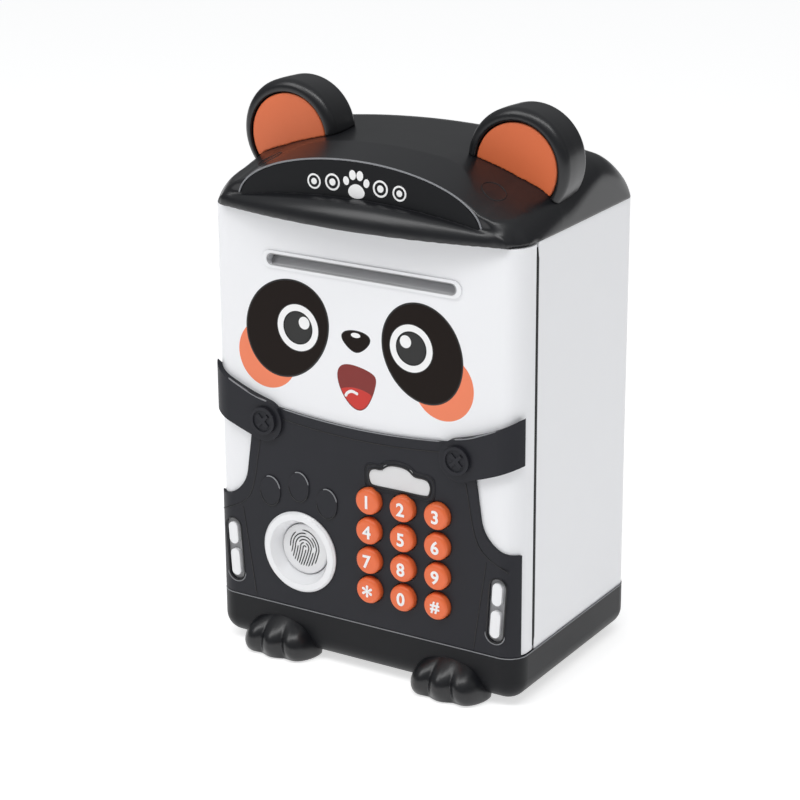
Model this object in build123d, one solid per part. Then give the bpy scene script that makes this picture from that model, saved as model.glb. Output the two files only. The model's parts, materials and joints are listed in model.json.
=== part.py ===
from build123d import *
import math
import os

# Toy cash bank in the shape of a panda: a hinged front door that carries the bill
# feeder, keypad and finger sensor, on a money box with a head-shaped lid.
# Millimetres. +Z is up, the front faces -Y, +X is to the right seen from the front,
# and the origin is the middle of the floor under the bank.

# ---------------------------------------------------------------- driving dimensions
TOTAL_HEIGHT = 230.0
BACK = 52.5                 # rear of the base and the head
BODY_HALF = 69.6            # half width of the door and the housing
TRIM_HALF = 70.2            # half width of the base and the head
WALL = 2.2
GAP = 0.6                   # shut line round the door
APART = 0.3                 # least air between pieces that move past each other

FRONT = -42.5               # front of the base and of the bib
DOOR_FRONT = FRONT + 1.2    # white face of the door
DOOR_INNER = DOOR_FRONT + WALL
DOOR_REAR = FRONT + 13.6
HOUSING_FRONT = DOOR_REAR + 0.8
HOUSING_REAR = BACK - 1.0
FRONT_CORNER = 8.3
REAR_CORNER = 6.5

BASE_BOTTOM = 2.6
BASE_TOP = 21.4
BASE_CORNER = 8.5
BASE_ROUNDING = 8.0
HEAD_BOTTOM = 185.2
DOOR_BOTTOM = BASE_TOP + GAP
DOOR_TOP = HEAD_BOTTOM - GAP

BIB_TOP_MIDDLE = 103.4
BIB_HALF = BODY_HALF + 0.8
BIB_REAR = FRONT + 4.7      # how far the bib and straps wrap round the sides
STRAP_FRONT = FRONT - 1.4
STRAP_HALF = BODY_HALF + 1.3
BUTTON_X, BUTTON_Z, BUTTON_R = 44.2, 99.9, 5.7

KEY_X, KEY_Z = 4.2, 75.2    # centre of the first key
KEY_PITCH_X, KEY_PITCH_Z = 15.47, 12.52
KEY_R, KEY_HOLE_R = 5.4, 5.8
KEY_FRONT = FRONT - 2.9
KEY_REAR = DOOR_INNER + 2.2
KEY_TRAVEL = 1.4
KEY_EAR = (7.2, 1.2, 3.0)   # the ears' half width, thickness and half height

BOWL_X, BOWL_Z = -29.0, 46.4
BOWL_R, BOWL_BODY_R, BOWL_MOUTH_R, PAD_BORE_R = 17.0, 15.6, 13.6, 10.9
BOWL_PROUD, BOWL_DEPTH = 1.4, 5.5
PAD_R, PAD_FLANGE_R = 10.5, 12.6
PAD_FRONT = FRONT + 3.0

SLOT_Z, SLOT_HALF, SLOT_HEIGHT = 166.1, 44.7, 7.2
SLOT_MOUTH_HALF, SLOT_MOUTH_HEIGHT = 42.6, 4.7
WINDOW_X, WINDOW_Z, WINDOW_HALF, WINDOW_HEIGHT = 17.6, 85.2, 13.9, 7.0
PILL_X, PILL_Z, PILL_LENGTH, PILL_WIDTH, PILL_TILT = 60.9, 41.0, 26.6, 7.0, 3.5
TOE_MARK = (4.8, 6.2)         # half axes of the raised toe marks above the bowl

EAR_X, EAR_R = 51.0, 21.5
EAR_Z = TOTAL_HEIGHT - EAR_R
EAR_FRONT, EAR_DEPTH = FRONT + 29.3, 18.7
EAR_PAD_R, EAR_PAD_DROP = 17.4, 1.1

BROW_HALF, BROW_HEIGHT, BROW_Z = 54.8, 22.6, 189.6
BROW_FRONT, BROW_REAR = FRONT - 1.6, -13.0
PLATE_HALF, PLATE_HEIGHT = 53.1, 19.8
LIP_HALF, LIP_REACH = 66.0, 9.4
LIP_TOP = 194.6
PLUG_X, PLUG_Y, PLUG_R = 50.0, -27.0, 4.6
COIN_Y, COIN_WIDTH, COIN_LENGTH = 38.0, 5.2, 30.0

PAW_X, TOE_SPREAD, TOE_R = 39.5, 9.9, 5.9
PAW_FRONT = -BACK
FOOT_X, FOOT_Y, FOOT_R = 49.0, 35.0, 6.0
POST_X, POST_FRONT, POST_REAR, POST_R = 59.0, -10.0, 40.0, 4.0
SCREW_R = 1.5

HINGE_X = BODY_HALF - 2.4
HINGE_Y = DOOR_REAR - 2.4
PIN_R = 1.2
PIN_BOTTOM, PIN_TOP = 14.0, 188.4
PIN_ENGAGED_LOW, PIN_ENGAGED_HIGH = 31.0, 176.0
RUN_CLEARANCE = 0.05

ROLLER_Y, ROLLER_R, ROLLER_HALF = FRONT + 11.5, 3.95, 40.0
ROLLER_SPACING = 8.5
GEAR_MODULE, ROLLER_TEETH, MOTOR_TEETH = 0.5, 17, 24
FEED_Z = SLOT_Z - ROLLER_SPACING / 2
IDLER_Z = SLOT_Z + ROLLER_SPACING / 2
MOTOR_Z = FEED_Z - GEAR_MODULE * (ROLLER_TEETH + MOTOR_TEETH) / 2
AXLE_R, AXLE_LEFT = 1.5, -48.0
GEAR_X, GEAR_WIDTH = 47.6, 2.6
GUIDE_X, GUIDE_WALL, GUIDE_LOW, GUIDE_HIGH = 44.4, 2.4, 143.0, 176.1
GUIDE_FRONT, GUIDE_REAR = ROLLER_Y - 6.9, ROLLER_Y + 5.5
MOTOR_R = 5.4

COVER_HALF, COVER_LOW, COVER_HIGH = 61.0, 28.0, 178.0
COVER_FRONT, COVER_REAR, COVER_WALL = FRONT + 14.0, FRONT + 24.0, 1.6
COVER_INNER = COVER_REAR - COVER_WALL
LATCH_Z = 104.0
BOLT_Y, BOLT_DEPTH, BOLT_HEIGHT = FRONT + 19.4, 4.0, 6.0
BOLT_TIP, BOLT_TAIL, PLUNGER_END = -62.4, -48.0, -37.0
STRIKE_X = -63.4            # inner face of the keeper

BOARD_FRONT, BOARD_THICK = FRONT + 8.1, 1.6
CELL_R, CELL_LENGTH, CELL_PITCH = 7.2, 50.4, 15.2
BAY_Y, BAY_HALF_X, BAY_HALF_Y, CELL_Z = 22.0, 29.6, 23.4, 15.6

THROUGH = (FRONT - 20.0, FRONT + 15.0)    # from and to, for cuts through the door's front
MIN3 = (Align.MIN, Align.MIN, Align.MIN)
CENTRED_Y = Plane.XZ        # its normal points to -Y, the front


# ---------------------------------------------------------------- small helpers
def block(low, high):
    """A box between two opposite corners."""
    size = [b - a for a, b in zip(low, high)]
    return Pos(*low) * Box(*size, align=MIN3)


def upright(x, y, low, high, radius):
    """A cylinder along Z."""
    return Pos(x, y, (low + high) / 2) * Cylinder(radius, high - low)


def facing(x, z, front, rear, radius):
    """A cylinder along Y, from front to rear."""
    return Pos(x, (front + rear) / 2, z) * Rot(90, 0, 0) * Cylinder(radius, rear - front)


def across(y, z, low, high, radius):
    """A cylinder along X."""
    return Pos((low + high) / 2, y, z) * Rot(0, 90, 0) * Cylinder(radius, high - low)


def push_back(sketch, front, rear):
    """A sketch drawn in X and Z, made solid from front to rear."""
    plane = Plane(origin=(0, front, 0), x_dir=(1, 0, 0), z_dir=(0, -1, 0))
    return extrude(plane * sketch, amount=-(rear - front))


def front_rounded(half, front, rear, low, high, radius):
    """An upright block whose two front edges are rounded."""
    plan = Pos(0, (front + rear) / 2) * Rectangle(2 * half, rear - front)
    plan = fillet(plan.vertices().sort_by(Axis.Y)[:2], radius)
    return Pos(0, 0, low) * extrude(plan, amount=high - low)


def mirrored(part):
    """The same part on the other side of the bank."""
    return mirror(part, about=Plane.YZ)


def pill(x, z, width, length, tilt, front, rear):
    """A solid with a round-ended outline, upright but for its tilt."""
    outline = Pos(x, z) * Rot(0, 0, 90 + tilt) * SlotOverall(length, width)
    return push_back(outline, front, rear)


def screw(x, y, seat, length, up=1, head_r=2.7, head_h=2.2, shank_r=1.5):
    """A round-headed screw along Z: the head's underside is at seat."""
    head = upright(x, y, min(seat, seat - up * head_h), max(seat, seat - up * head_h), head_r)
    head -= Pos(x, y, seat - up * head_h) * Box(3.6, 0.8, 1.6)
    head -= Pos(x, y, seat - up * head_h) * Box(0.8, 3.6, 1.6)
    shank = upright(x, y, min(seat, seat + up * length), max(seat, seat + up * length), shank_r)
    return head + shank


def spur_gear(teeth, x, y, z, width, phase, bore):
    """A spur gear about X; a tooth points phase degrees round from +Y towards +Z."""
    pitch_r = GEAR_MODULE * teeth / 2
    root_r = pitch_r - 1.2 * GEAR_MODULE
    tip_r = pitch_r + 0.9 * GEAR_MODULE
    quarter = 90.0 / teeth
    outline = []
    for tooth in range(teeth):
        middle = phase + tooth * 360.0 / teeth
        for radius, share in ((root_r, -1.45), (tip_r, -0.42), (tip_r, 0.42), (root_r, 1.45)):
            angle = math.radians(middle + share * quarter)
            outline.append((radius * math.cos(angle), radius * math.sin(angle)))
    face = Polygon(*outline, align=None) - Circle(bore)
    plane = Plane(origin=(x, y, z), x_dir=(0, 1, 0), z_dir=(1, 0, 0))
    return extrude(plane * face, amount=width)


def save(name, part):
    """Write one node, a single solid or a group of separate ones."""
    solids = part.solids()
    shape = solids[0] if len(solids) == 1 else Compound(children=list(solids))
    export_step(shape, f"parts/{name}.step")


# ---------------------------------------------------------------- head
# Each row is one cross-section of the head: y, half width, shoulder height, crown height.
HEAD_SECTIONS = (
    (FRONT - 0.6, 64.4, 187.2, 196.0),
    (-35.8, TRIM_HALF - 0.5, 190.5, 203.5),
    (-10.5, TRIM_HALF, 195.0, 212.2),
    (4.0, TRIM_HALF, 197.5, 213.2),
    (26.0, TRIM_HALF, 199.5, 213.2),
    (40.0, TRIM_HALF, 196.5, 208.6),
    (48.5, TRIM_HALF - 0.4, 191.0, 201.0),
    (BACK, TRIM_HALF - 2.0, 187.0, 193.0),
)


def head_section(y, half, shoulder, crown, inset):
    """One closed cross-section, drawn in from the outside by inset."""
    low = HEAD_BOTTOM - (5.0 if inset else 0.0)
    side = half - inset
    with BuildLine(CENTRED_Y.offset(-y)) as edge:
        Line((-side, low), (side, low))
        Line((side, low), (side, shoulder - inset))
        ThreePointArc((side, shoulder - inset), (0, crown - inset), (-side, shoulder - inset))
        Line((-side, shoulder - inset), (-side, low))
    return make_face(edge.line)


def head_loaf(inset=0.0):
    """The domed block of the head, or its hollow when inset is given."""
    sections = [head_section(*row, inset) for row in HEAD_SECTIONS[1 if inset else 0:]]
    loaf = loft(sections, ruled=True)
    if inset:
        loaf = loaf - block((-80, BACK - inset, 170), (80, BACK + 10, 220))
    return loaf


def half_ellipse(half, height, front, rear):
    """The upper half of a lying oval bar, centred on the brow."""
    bar = push_back(Pos(0, BROW_Z) * Ellipse(half, height), front, rear)
    return bar - block((-80, front - 1, BROW_Z - height - 1), (80, rear + 1, BROW_Z - 4.4))


def visor_lip(top):
    """The lip that bows out over the door."""
    reach = FRONT - LIP_REACH
    with BuildSketch() as plan:
        with BuildLine():
            Line((-LIP_HALF, FRONT + 4), (LIP_HALF, FRONT + 4))
            Line((LIP_HALF, FRONT + 4), (LIP_HALF, FRONT - 0.4))
            ThreePointArc((LIP_HALF, FRONT - 0.4), (0, reach), (-LIP_HALF, FRONT - 0.4))
            Line((-LIP_HALF, FRONT - 0.4), (-LIP_HALF, FRONT + 4))
        make_face()
    lip = Pos(0, 0, HEAD_BOTTOM) * extrude(plan.sketch, amount=top - HEAD_BOTTOM)
    bow = lip.faces().sort_by(Axis.Z)[-1].edges().filter_by(GeomType.CIRCLE)
    return fillet(bow, 6.5)


def head_outer():
    """The head as a filled block, with brow and visor."""
    return head_loaf() + half_ellipse(BROW_HALF, BROW_HEIGHT, BROW_FRONT, BROW_REAR) + visor_lip(LIP_TOP)


def ear(outer):
    """The right ear: a thick disc with a shallow recess, fitted to the head."""
    disc = facing(EAR_X, EAR_Z, EAR_FRONT, EAR_FRONT + EAR_DEPTH, EAR_R)
    disc = fillet(disc.edges().filter_by(GeomType.CIRCLE), 3.2)
    disc -= facing(EAR_X, EAR_Z - EAR_PAD_DROP, EAR_FRONT - 1, EAR_FRONT + 2.0, EAR_PAD_R)
    return (disc - outer).solids().sort_by(SortBy.VOLUME)[-1]


def ear_pad(outer):
    pad = facing(EAR_X, EAR_Z - EAR_PAD_DROP, EAR_FRONT + 0.7, EAR_FRONT + 2.0, EAR_PAD_R)
    return (pad - outer).solids().sort_by(SortBy.VOLUME)[-1]


def head_shell(outer, plugs):
    """The head's shell, open below, with screw posts and the hinge boss."""
    shell = outer - head_loaf(WALL)
    shell -= half_ellipse(PLATE_HALF, PLATE_HEIGHT, BROW_FRONT - 1, BROW_FRONT + 1.2) - visor_lip(LIP_TOP)
    shell -= block((-COIN_LENGTH / 2, COIN_Y - COIN_WIDTH / 2, 180),
                   (COIN_LENGTH / 2, COIN_Y + COIN_WIDTH / 2, 220))
    floor = front_rounded(TRIM_HALF, FRONT - 0.6, HOUSING_FRONT + 4, HEAD_BOTTOM, HEAD_BOTTOM + WALL, 8)
    shell += floor & outer
    for x, y in post_places():
        shell += upright(x, y, HEAD_BOTTOM, 196, POST_R) & outer
        shell -= upright(x, y, HEAD_BOTTOM - 1, HEAD_BOTTOM + 5.4, SCREW_R)
    shell += upright(HINGE_X - 1.2, HINGE_Y, HEAD_BOTTOM, 192.4, 3.4) & outer
    shell -= upright(HINGE_X, HINGE_Y, HEAD_BOTTOM - 1, PIN_TOP, PIN_R)
    return (shell - plugs).solids().sort_by(SortBy.VOLUME)[-1]


def brow_plate():
    """The thin arched inlay on the brow."""
    plate = half_ellipse(PLATE_HALF - 0.15, PLATE_HEIGHT - 0.15, BROW_FRONT + 0.3, BROW_FRONT + 1.2)
    return (plate - visor_lip(LIP_TOP)).solids().sort_by(SortBy.VOLUME)[-1]


def head_plugs(outer):
    """Two flush plugs in front of the ears."""
    right = upright(PLUG_X, PLUG_Y, 192.0, 205.0, PLUG_R) & outer
    right -= head_loaf(WALL)
    right = right.solids().sort_by(SortBy.VOLUME)[-1]
    return right + mirrored(right)


def coin_chute():
    """A short square funnel that leads coins from the slot into the box."""
    tube = block((-19.5, COIN_Y - 6.5, 187.5), (19.5, COIN_Y + 6.5, 212))
    tube -= block((-18, COIN_Y - 5, 180), (18, COIN_Y + 5, 214))
    return tube & head_loaf(WALL)


# ---------------------------------------------------------------- housing and base
def post_places():
    """Where the four long screws run, in the corners of the money box."""
    return [(side * POST_X, y) for y in (POST_FRONT, POST_REAR) for side in (-1, 1)]


def housing():
    """The white sides and back, one U-shaped moulding with screw posts."""
    middle = (HOUSING_FRONT + HOUSING_REAR) / 2
    plan = Pos(0, middle) * Rectangle(2 * BODY_HALF, HOUSING_REAR - HOUSING_FRONT)
    plan = fillet(plan.vertices().sort_by(Axis.Y)[2:], REAR_CORNER)
    shell = Pos(0, 0, BASE_TOP) * extrude(plan, amount=HEAD_BOTTOM - BASE_TOP)
    shell -= block((-BODY_HALF + WALL, HOUSING_FRONT - 1, BASE_TOP - 1),
                   (BODY_HALF - WALL, HOUSING_REAR - WALL, HEAD_BOTTOM + 1))
    for x, y in post_places():
        tie = block((min(x, math.copysign(BODY_HALF - 1, x)), y - 1, BASE_TOP),
                    (max(x, math.copysign(BODY_HALF - 1, x)), y + 1, 36))
        top_tie = Pos(0, 0, HEAD_BOTTOM - 36) * tie
        shell += upright(x, y, BASE_TOP, 36, POST_R) + tie
        shell += upright(x, y, 170.6, HEAD_BOTTOM, POST_R) + top_tie
        shell -= upright(x, y, BASE_TOP - 1, 34, SCREW_R)
        shell -= upright(x, y, 170, HEAD_BOTTOM + 1, SCREW_R + 0.1)
    return shell


def base_block():
    """The base as a filled block with a rounded lower edge."""
    plan = Pos(0, (FRONT + BACK) / 2) * RectangleRounded(2 * TRIM_HALF, BACK - FRONT, BASE_CORNER)
    body = Pos(0, 0, BASE_BOTTOM) * extrude(plan, amount=BASE_TOP - BASE_BOTTOM)
    return fillet(body.faces().sort_by(Axis.Z)[0].edges(), BASE_ROUNDING)


def bay_box(grow, low, high):
    """The space of the battery bay, grown sideways by grow."""
    half_x, half_y = BAY_HALF_X + grow, BAY_HALF_Y + grow
    return block((-half_x, BAY_Y - half_y, low), (half_x, BAY_Y + half_y, high))


def base_tray():
    """The black tray under the money box, with posts and a battery opening."""
    tray = base_block()
    plan = Pos(0, (FRONT + BACK) / 2) * RectangleRounded(
        2 * (TRIM_HALF - WALL), BACK - FRONT - 2 * WALL, BASE_CORNER - WALL)
    hollow = Pos(0, 0, BASE_BOTTOM + WALL) * extrude(plan, amount=30)
    tray -= fillet(hollow.faces().sort_by(Axis.Z)[0].edges(), BASE_ROUNDING - WALL)
    for x, y in post_places():
        tray += upright(x, y, BASE_BOTTOM + 1.5, BASE_TOP - WALL, POST_R + 0.4) & base_block()
        tray -= upright(x, y, BASE_BOTTOM - 1, 13.0, 3.0) + upright(x, y, 12, BASE_TOP + 1, SCREW_R + 0.1)
    tray += upright(HINGE_X - 1.6, HINGE_Y, 12.0, BASE_TOP, 3.0) & base_block()
    tray -= upright(HINGE_X, HINGE_Y, PIN_BOTTOM, BASE_TOP + 1, PIN_R)
    tray -= bay_box(1.7, 0, 12)
    tray -= upright(0, BAY_Y - 29.0, 0, 12, 1.2)
    return tray


def chamber_floor():
    """The plate that closes the base and forms the floor of the money box."""
    inset = WALL + 0.1
    plan = Pos(0, (FRONT + BACK) / 2) * RectangleRounded(
        2 * (TRIM_HALF - inset), BACK - FRONT - 2 * inset, BASE_CORNER - inset)
    plate = Pos(0, 0, BASE_TOP - WALL) * extrude(plan, amount=WALL)
    plate -= bay_box(1.7, 0, 40)
    for x, y in post_places():
        plate -= upright(x, y, 0, 40, SCREW_R + 0.1)
    return plate - upright(HINGE_X - 1.6, HINGE_Y, 0, 40, 3.1)


def battery_box():
    box = bay_box(1.6, BASE_BOTTOM + WALL + 0.1, 25.6)
    return box - bay_box(0.0, 0, 24.0)


def cell_rows():
    return [BAY_Y + row * CELL_PITCH for row in (-1, 0, 1)]


def batteries():
    group = Part()
    for row, y in enumerate(cell_rows()):
        side = 1 if row % 2 else -1
        cell = across(y, CELL_Z, -CELL_LENGTH / 2 + 0.6, CELL_LENGTH / 2 - 0.6, CELL_R)
        cell += across(y, CELL_Z, side * 24.0 - 1.2, side * 24.0 + 1.2, 2.6)
        group += cell
    return group


def battery_contacts():
    """A sheet contact with a coil boss at each end of each cell."""
    group = Part()
    for y in cell_rows():
        for side in (-1, 1):
            low, high = sorted((side * (BAY_HALF_X - 0.6), side * BAY_HALF_X))
            plate = block((low, y - 5, 10), (high, y + 5, 22))
            low, high = sorted((side * 25.3, side * (BAY_HALF_X - 0.4)))
            group += plate + across(y, CELL_Z, low, high, 2.4)
    return group


def battery_cover():
    """The screwed door of the battery bay, flush with the underside."""
    cover = bay_box(1.5, BASE_BOTTOM, BASE_BOTTOM + WALL - 0.1)
    cover += block((-7, BAY_Y - 33.5, BASE_BOTTOM - 1.2), (7, BAY_Y - 24, BASE_BOTTOM))
    return cover - upright(0, BAY_Y - 29.0, 0, 12, 1.25)


def battery_cover_screw():
    """The small screw of the battery cover, driven up from below."""
    return screw(0, BAY_Y - 29.0, BASE_BOTTOM - 1.2, 3.4, head_r=2.2, head_h=1.2, shank_r=1.2)


def long_screws(seat, length):
    group = Part()
    for x, y in post_places():
        group += screw(x, y, seat, length)
    return group


def hinge_pins():
    lower = upright(HINGE_X, HINGE_Y, PIN_BOTTOM, PIN_ENGAGED_LOW, PIN_R)
    return lower + upright(HINGE_X, HINGE_Y, PIN_ENGAGED_HIGH, PIN_TOP, PIN_R)


def rubber_feet():
    foot = upright(FOOT_X, FOOT_Y, 0, BASE_BOTTOM, FOOT_R)
    foot = fillet(foot.edges().filter_by(GeomType.CIRCLE).sort_by(Axis.Z)[0], 1.0)
    return foot + mirrored(foot)


def paw():
    """The right front paw: three toes and an instep, moulded against the base."""
    centre_y, root_y = PAW_FRONT + TOE_R, FRONT + 8
    with BuildSketch(Plane.XY) as half:
        with BuildLine():
            Line((0, root_y), (TOE_R, root_y))
            Line((TOE_R, root_y), (TOE_R, centre_y))
            RadiusArc((TOE_R, centre_y), (0, PAW_FRONT), TOE_R)
            Line((0, PAW_FRONT), (0, root_y))
        make_face()
    capsule = revolve(half.sketch, Axis.Y)
    body = Part()
    for toe, reach in ((-1, 1.2), (0, 0.0), (1, 1.2)):
        body += Pos(PAW_X + toe * TOE_SPREAD, reach, TOE_R) * capsule
    instep = Pos(PAW_X, FRONT + 6.0, 3.0) * Sphere(14.2)
    body += instep - block((0, -80, -30), (80, 0, 0.2)) - block((0, FRONT + 8, -30), (80, 0, 40))
    return (body - base_block()).solids().sort_by(SortBy.VOLUME)[-1]


# ---------------------------------------------------------------- door
def door_block():
    body = front_rounded(BODY_HALF, DOOR_FRONT, DOOR_REAR, DOOR_BOTTOM, DOOR_TOP, FRONT_CORNER)
    hinge_edge = body.edges().filter_by(Axis.Z).sort_by(Axis.Y)[-2:].sort_by(Axis.X)[-1]
    return fillet(hinge_edge, 1.2)


def key_places():
    """Centre of each key with its name, from the top left to the bottom right."""
    names = ("1", "2", "3", "4", "5", "6", "7", "8", "9", "star", "0", "hash")
    for index, name in enumerate(names):
        row, column = divmod(index, 3)
        yield name, KEY_X + column * KEY_PITCH_X, KEY_Z - row * KEY_PITCH_Z


def window_outline():
    """A round-ended bar with a low bump on top."""
    bar = Pos(WINDOW_X, WINDOW_Z) * RectangleRounded(2 * WINDOW_HALF, WINDOW_HEIGHT, 3.0)
    bump = Pos(WINDOW_X - 0.6, WINDOW_Z + WINDOW_HEIGHT / 2 + 0.4) * RectangleRounded(14.0, 4.6, 2.2)
    return bar + bump


def slot_outline(half, height):
    return Pos(0, SLOT_Z) * SlotOverall(2 * half, height)


def pill_insert():
    """The right-hand light insert: a plate with two raised bars."""
    insert = pill(PILL_X, PILL_Z, PILL_WIDTH + 1.4, PILL_LENGTH + 1.4, -PILL_TILT, DOOR_FRONT, DOOR_INNER)
    for offset, length in ((7.0, 9.4), (-5.6, 11.4)):
        x = PILL_X + offset * math.sin(math.radians(PILL_TILT))
        insert += pill(x, PILL_Z + offset, 4.2, length, -PILL_TILT, FRONT - 0.5, DOOR_FRONT + 1)
    return insert


def front_openings():
    """Everything that passes through the lower front of the door."""
    cut = facing(BOWL_X, BOWL_Z, *THROUGH, BOWL_BODY_R)
    cut += push_back(window_outline(), *THROUGH)
    for _, x, z in key_places():
        cut += facing(x, z, *THROUGH, KEY_HOLE_R)
    return cut


def screw_posts():
    """The four posts inside the door that the back cover screws onto."""
    return [(x, z) for x in (-55.5, 55.5) for z in (34.0, 172.0)]


def door_shell():
    """The white door: a shallow tray with openings, posts and hinge bosses."""
    outer = door_block()
    shell = outer - front_rounded(BODY_HALF - WALL, DOOR_INNER, 0, DOOR_BOTTOM + WALL,
                                  DOOR_TOP - WALL, FRONT_CORNER - WALL)
    for x, z in screw_posts():
        shell += facing(x, z, DOOR_INNER - 0.5, COVER_INNER, 3.4)
        shell -= facing(x, z, DOOR_INNER + 3, COVER_REAR, 1.2)
    for x, z in board_posts():
        shell += facing(x, z, DOOR_INNER - 0.5, BOARD_FRONT, 2.2)
    for low, high in ((DOOR_BOTTOM, PIN_ENGAGED_LOW), (PIN_ENGAGED_HIGH, DOOR_TOP)):
        shell += block((HINGE_X - 3.0, HINGE_Y - 3.4, low), (BODY_HALF - 1, DOOR_REAR, high)) & outer
    shell -= upright(HINGE_X, HINGE_Y, DOOR_BOTTOM - 1, PIN_ENGAGED_LOW + APART, PIN_R + RUN_CLEARANCE)
    shell -= upright(HINGE_X, HINGE_Y, PIN_ENGAGED_HIGH - APART, DOOR_TOP + 1, PIN_R + RUN_CLEARANCE)
    shell -= front_openings()
    shell -= push_back(slot_outline(SLOT_HALF - 1.2, SLOT_HEIGHT - 1.4), *THROUGH)
    plate = pill(PILL_X, PILL_Z, PILL_WIDTH + 1.4, PILL_LENGTH + 1.4, -PILL_TILT,
                 THROUGH[0], DOOR_INNER + 0.5)
    return shell - plate - mirrored(plate)


def bib_outline():
    """Front outline of the dungarees, without the straps."""
    with BuildSketch() as sketch:
        with BuildLine():
            bottom = DOOR_BOTTOM
            Line((-80, bottom), (80, bottom))
            for side in (1, -1):
                Line((side * 80, bottom), (side * 80, 64.0))
                Line((side * 80, 64.0), (side * 69.8, 64.2))
                ThreePointArc((side * 69.8, 64.2), (side * 58.2, 68.0), (side * 53.7, 76.5))
                Line((side * 53.7, 76.5), (side * 51.3, 93.0))
                Line((side * 51.3, 93.0), (side * 43.0, 106.4))
            ThreePointArc((-43.0, 106.4), (0, BIB_TOP_MIDDLE), (43.0, 106.4))
        make_face()
    return sketch.sketch


def strap_outline():
    """Front outline of the right strap, from its round end to the side."""
    with BuildSketch() as sketch:
        with BuildLine():
            ThreePointArc((BUTTON_X - 1.4, 108.0), (BUTTON_X - 8.1, 98.6), (BUTTON_X + 4.0, 92.0))
            ThreePointArc((BUTTON_X + 4.0, 92.0), (59.1, 95.8), (80.0, 105.8))
            Line((80.0, 105.8), (80.0, 126.6))
            ThreePointArc((80.0, 126.6), (58.6, 113.4), (BUTTON_X - 1.4, 108.0))
        make_face()
    return sketch.sketch


def bib_panel(inserts):
    """The dark dungarees over the door: a thin skin with two raised straps."""
    behind = front_rounded(BODY_HALF, DOOR_FRONT, 0, 10, 190, FRONT_CORNER)
    behind += block((-80, BIB_REAR, 0), (80, 10, 200))
    skin = front_rounded(BIB_HALF, FRONT, 0, DOOR_BOTTOM, 140, FRONT_CORNER + 0.7) - behind
    raised = front_rounded(STRAP_HALF, STRAP_FRONT, 0, DOOR_BOTTOM, 140, FRONT_CORNER + 1.4) - behind
    bib = skin & push_back(bib_outline(), *THROUGH)
    strap = push_back(strap_outline(), *THROUGH)
    bib += raised & (strap + mirrored(strap))
    bib -= front_openings()
    slot = pill(PILL_X, PILL_Z, PILL_WIDTH, PILL_LENGTH, -PILL_TILT, *THROUGH)
    bib -= slot + mirrored(slot)
    for toe_x, toe_z in ((-42.7, 70.0), (-29.0, 74.2), (-15.8, 69.6)):
        bib += push_back(Pos(toe_x, toe_z) * Ellipse(*TOE_MARK), FRONT - 0.5, FRONT + 0.4)
    return (bib - inserts).solids().sort_by(SortBy.VOLUME)[-1]


def strap_button():
    """A dungaree button: a dished disc with a raised cross."""
    centre = Plane(origin=(BUTTON_X, STRAP_FRONT, BUTTON_Z), x_dir=(1, 0, 0), z_dir=(0, -1, 0))
    button = extrude(centre * Circle(BUTTON_R), amount=1.5)
    button -= extrude(centre.offset(0.9) * Circle(BUTTON_R - 1.3), amount=2)
    bar = Rectangle(6.6, 1.5)
    cross = extrude(centre.offset(0.5) * (Rot(0, 0, 45) * bar), amount=0.9)
    cross += extrude(centre.offset(0.5) * (Rot(0, 0, -45) * bar), amount=0.9)
    return button + cross


def slot_bezel():
    """The frame of the bill slot: a flange in front and a short throat behind."""
    bezel = push_back(slot_outline(SLOT_HALF, SLOT_HEIGHT), DOOR_FRONT - 0.6, DOOR_FRONT)
    bezel += push_back(slot_outline(SLOT_HALF - 1.2, SLOT_HEIGHT - 1.4), DOOR_FRONT, GUIDE_FRONT + 1.7)
    return bezel - push_back(slot_outline(SLOT_MOUTH_HALF, SLOT_MOUTH_HEIGHT), *THROUGH)


def sensor_bowl():
    """The white dish round the finger pad."""
    with BuildSketch(Plane.XY) as half:
        with BuildLine():
            Polyline((PAD_BORE_R, BOWL_DEPTH), (PAD_BORE_R, BOWL_DEPTH - 1.5),
                     (BOWL_MOUTH_R, -BOWL_PROUD), (BOWL_R - 0.8, -BOWL_PROUD),
                     (BOWL_R, 0.8 - BOWL_PROUD), (BOWL_R, 0),
                     (BOWL_BODY_R, 0), (BOWL_BODY_R, BOWL_DEPTH), close=True)
        make_face()
    dish = revolve(half.sketch, Axis.Y)
    return Pos(BOWL_X, FRONT, BOWL_Z) * dish


def finger_pad():
    """The pressed plate in the middle of the dish, with its retaining flange."""
    flange_front = FRONT + BOWL_DEPTH + APART
    pad = facing(BOWL_X, BOWL_Z, PAD_FRONT, flange_front + 0.1, PAD_R)
    pad = fillet(pad.edges().filter_by(GeomType.CIRCLE).sort_by(Axis.Y)[0], 0.5)
    return pad + facing(BOWL_X, BOWL_Z, flange_front, flange_front + 1.0, PAD_FLANGE_R)


def key(x, z):
    """One round key with two ears that hold it behind the door."""
    cap = facing(x, z, KEY_FRONT, KEY_REAR, KEY_R)
    cap = fillet(cap.edges().filter_by(GeomType.CIRCLE).sort_by(Axis.Y)[0], 1.5)
    half, thick, height = KEY_EAR
    ear_front = DOOR_INNER + APART
    return cap + block((x - half, ear_front, z - height), (x + half, ear_front + thick, z + height))


def key_membrane():
    """The rubber sheet between the keys and the board; the keys stop just short of it."""
    front = KEY_REAR + KEY_TRAVEL + APART
    return block((KEY_X - 8.5, front, KEY_Z - 3 * KEY_PITCH_Z - 6.5),
                 (KEY_X + 2 * KEY_PITCH_X + 8.0, BOARD_FRONT, KEY_Z + 6.5))


def board_posts():
    return [(x, z) for x in (-48.2, 46.8) for z in (30.0, 93.0)]


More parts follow.
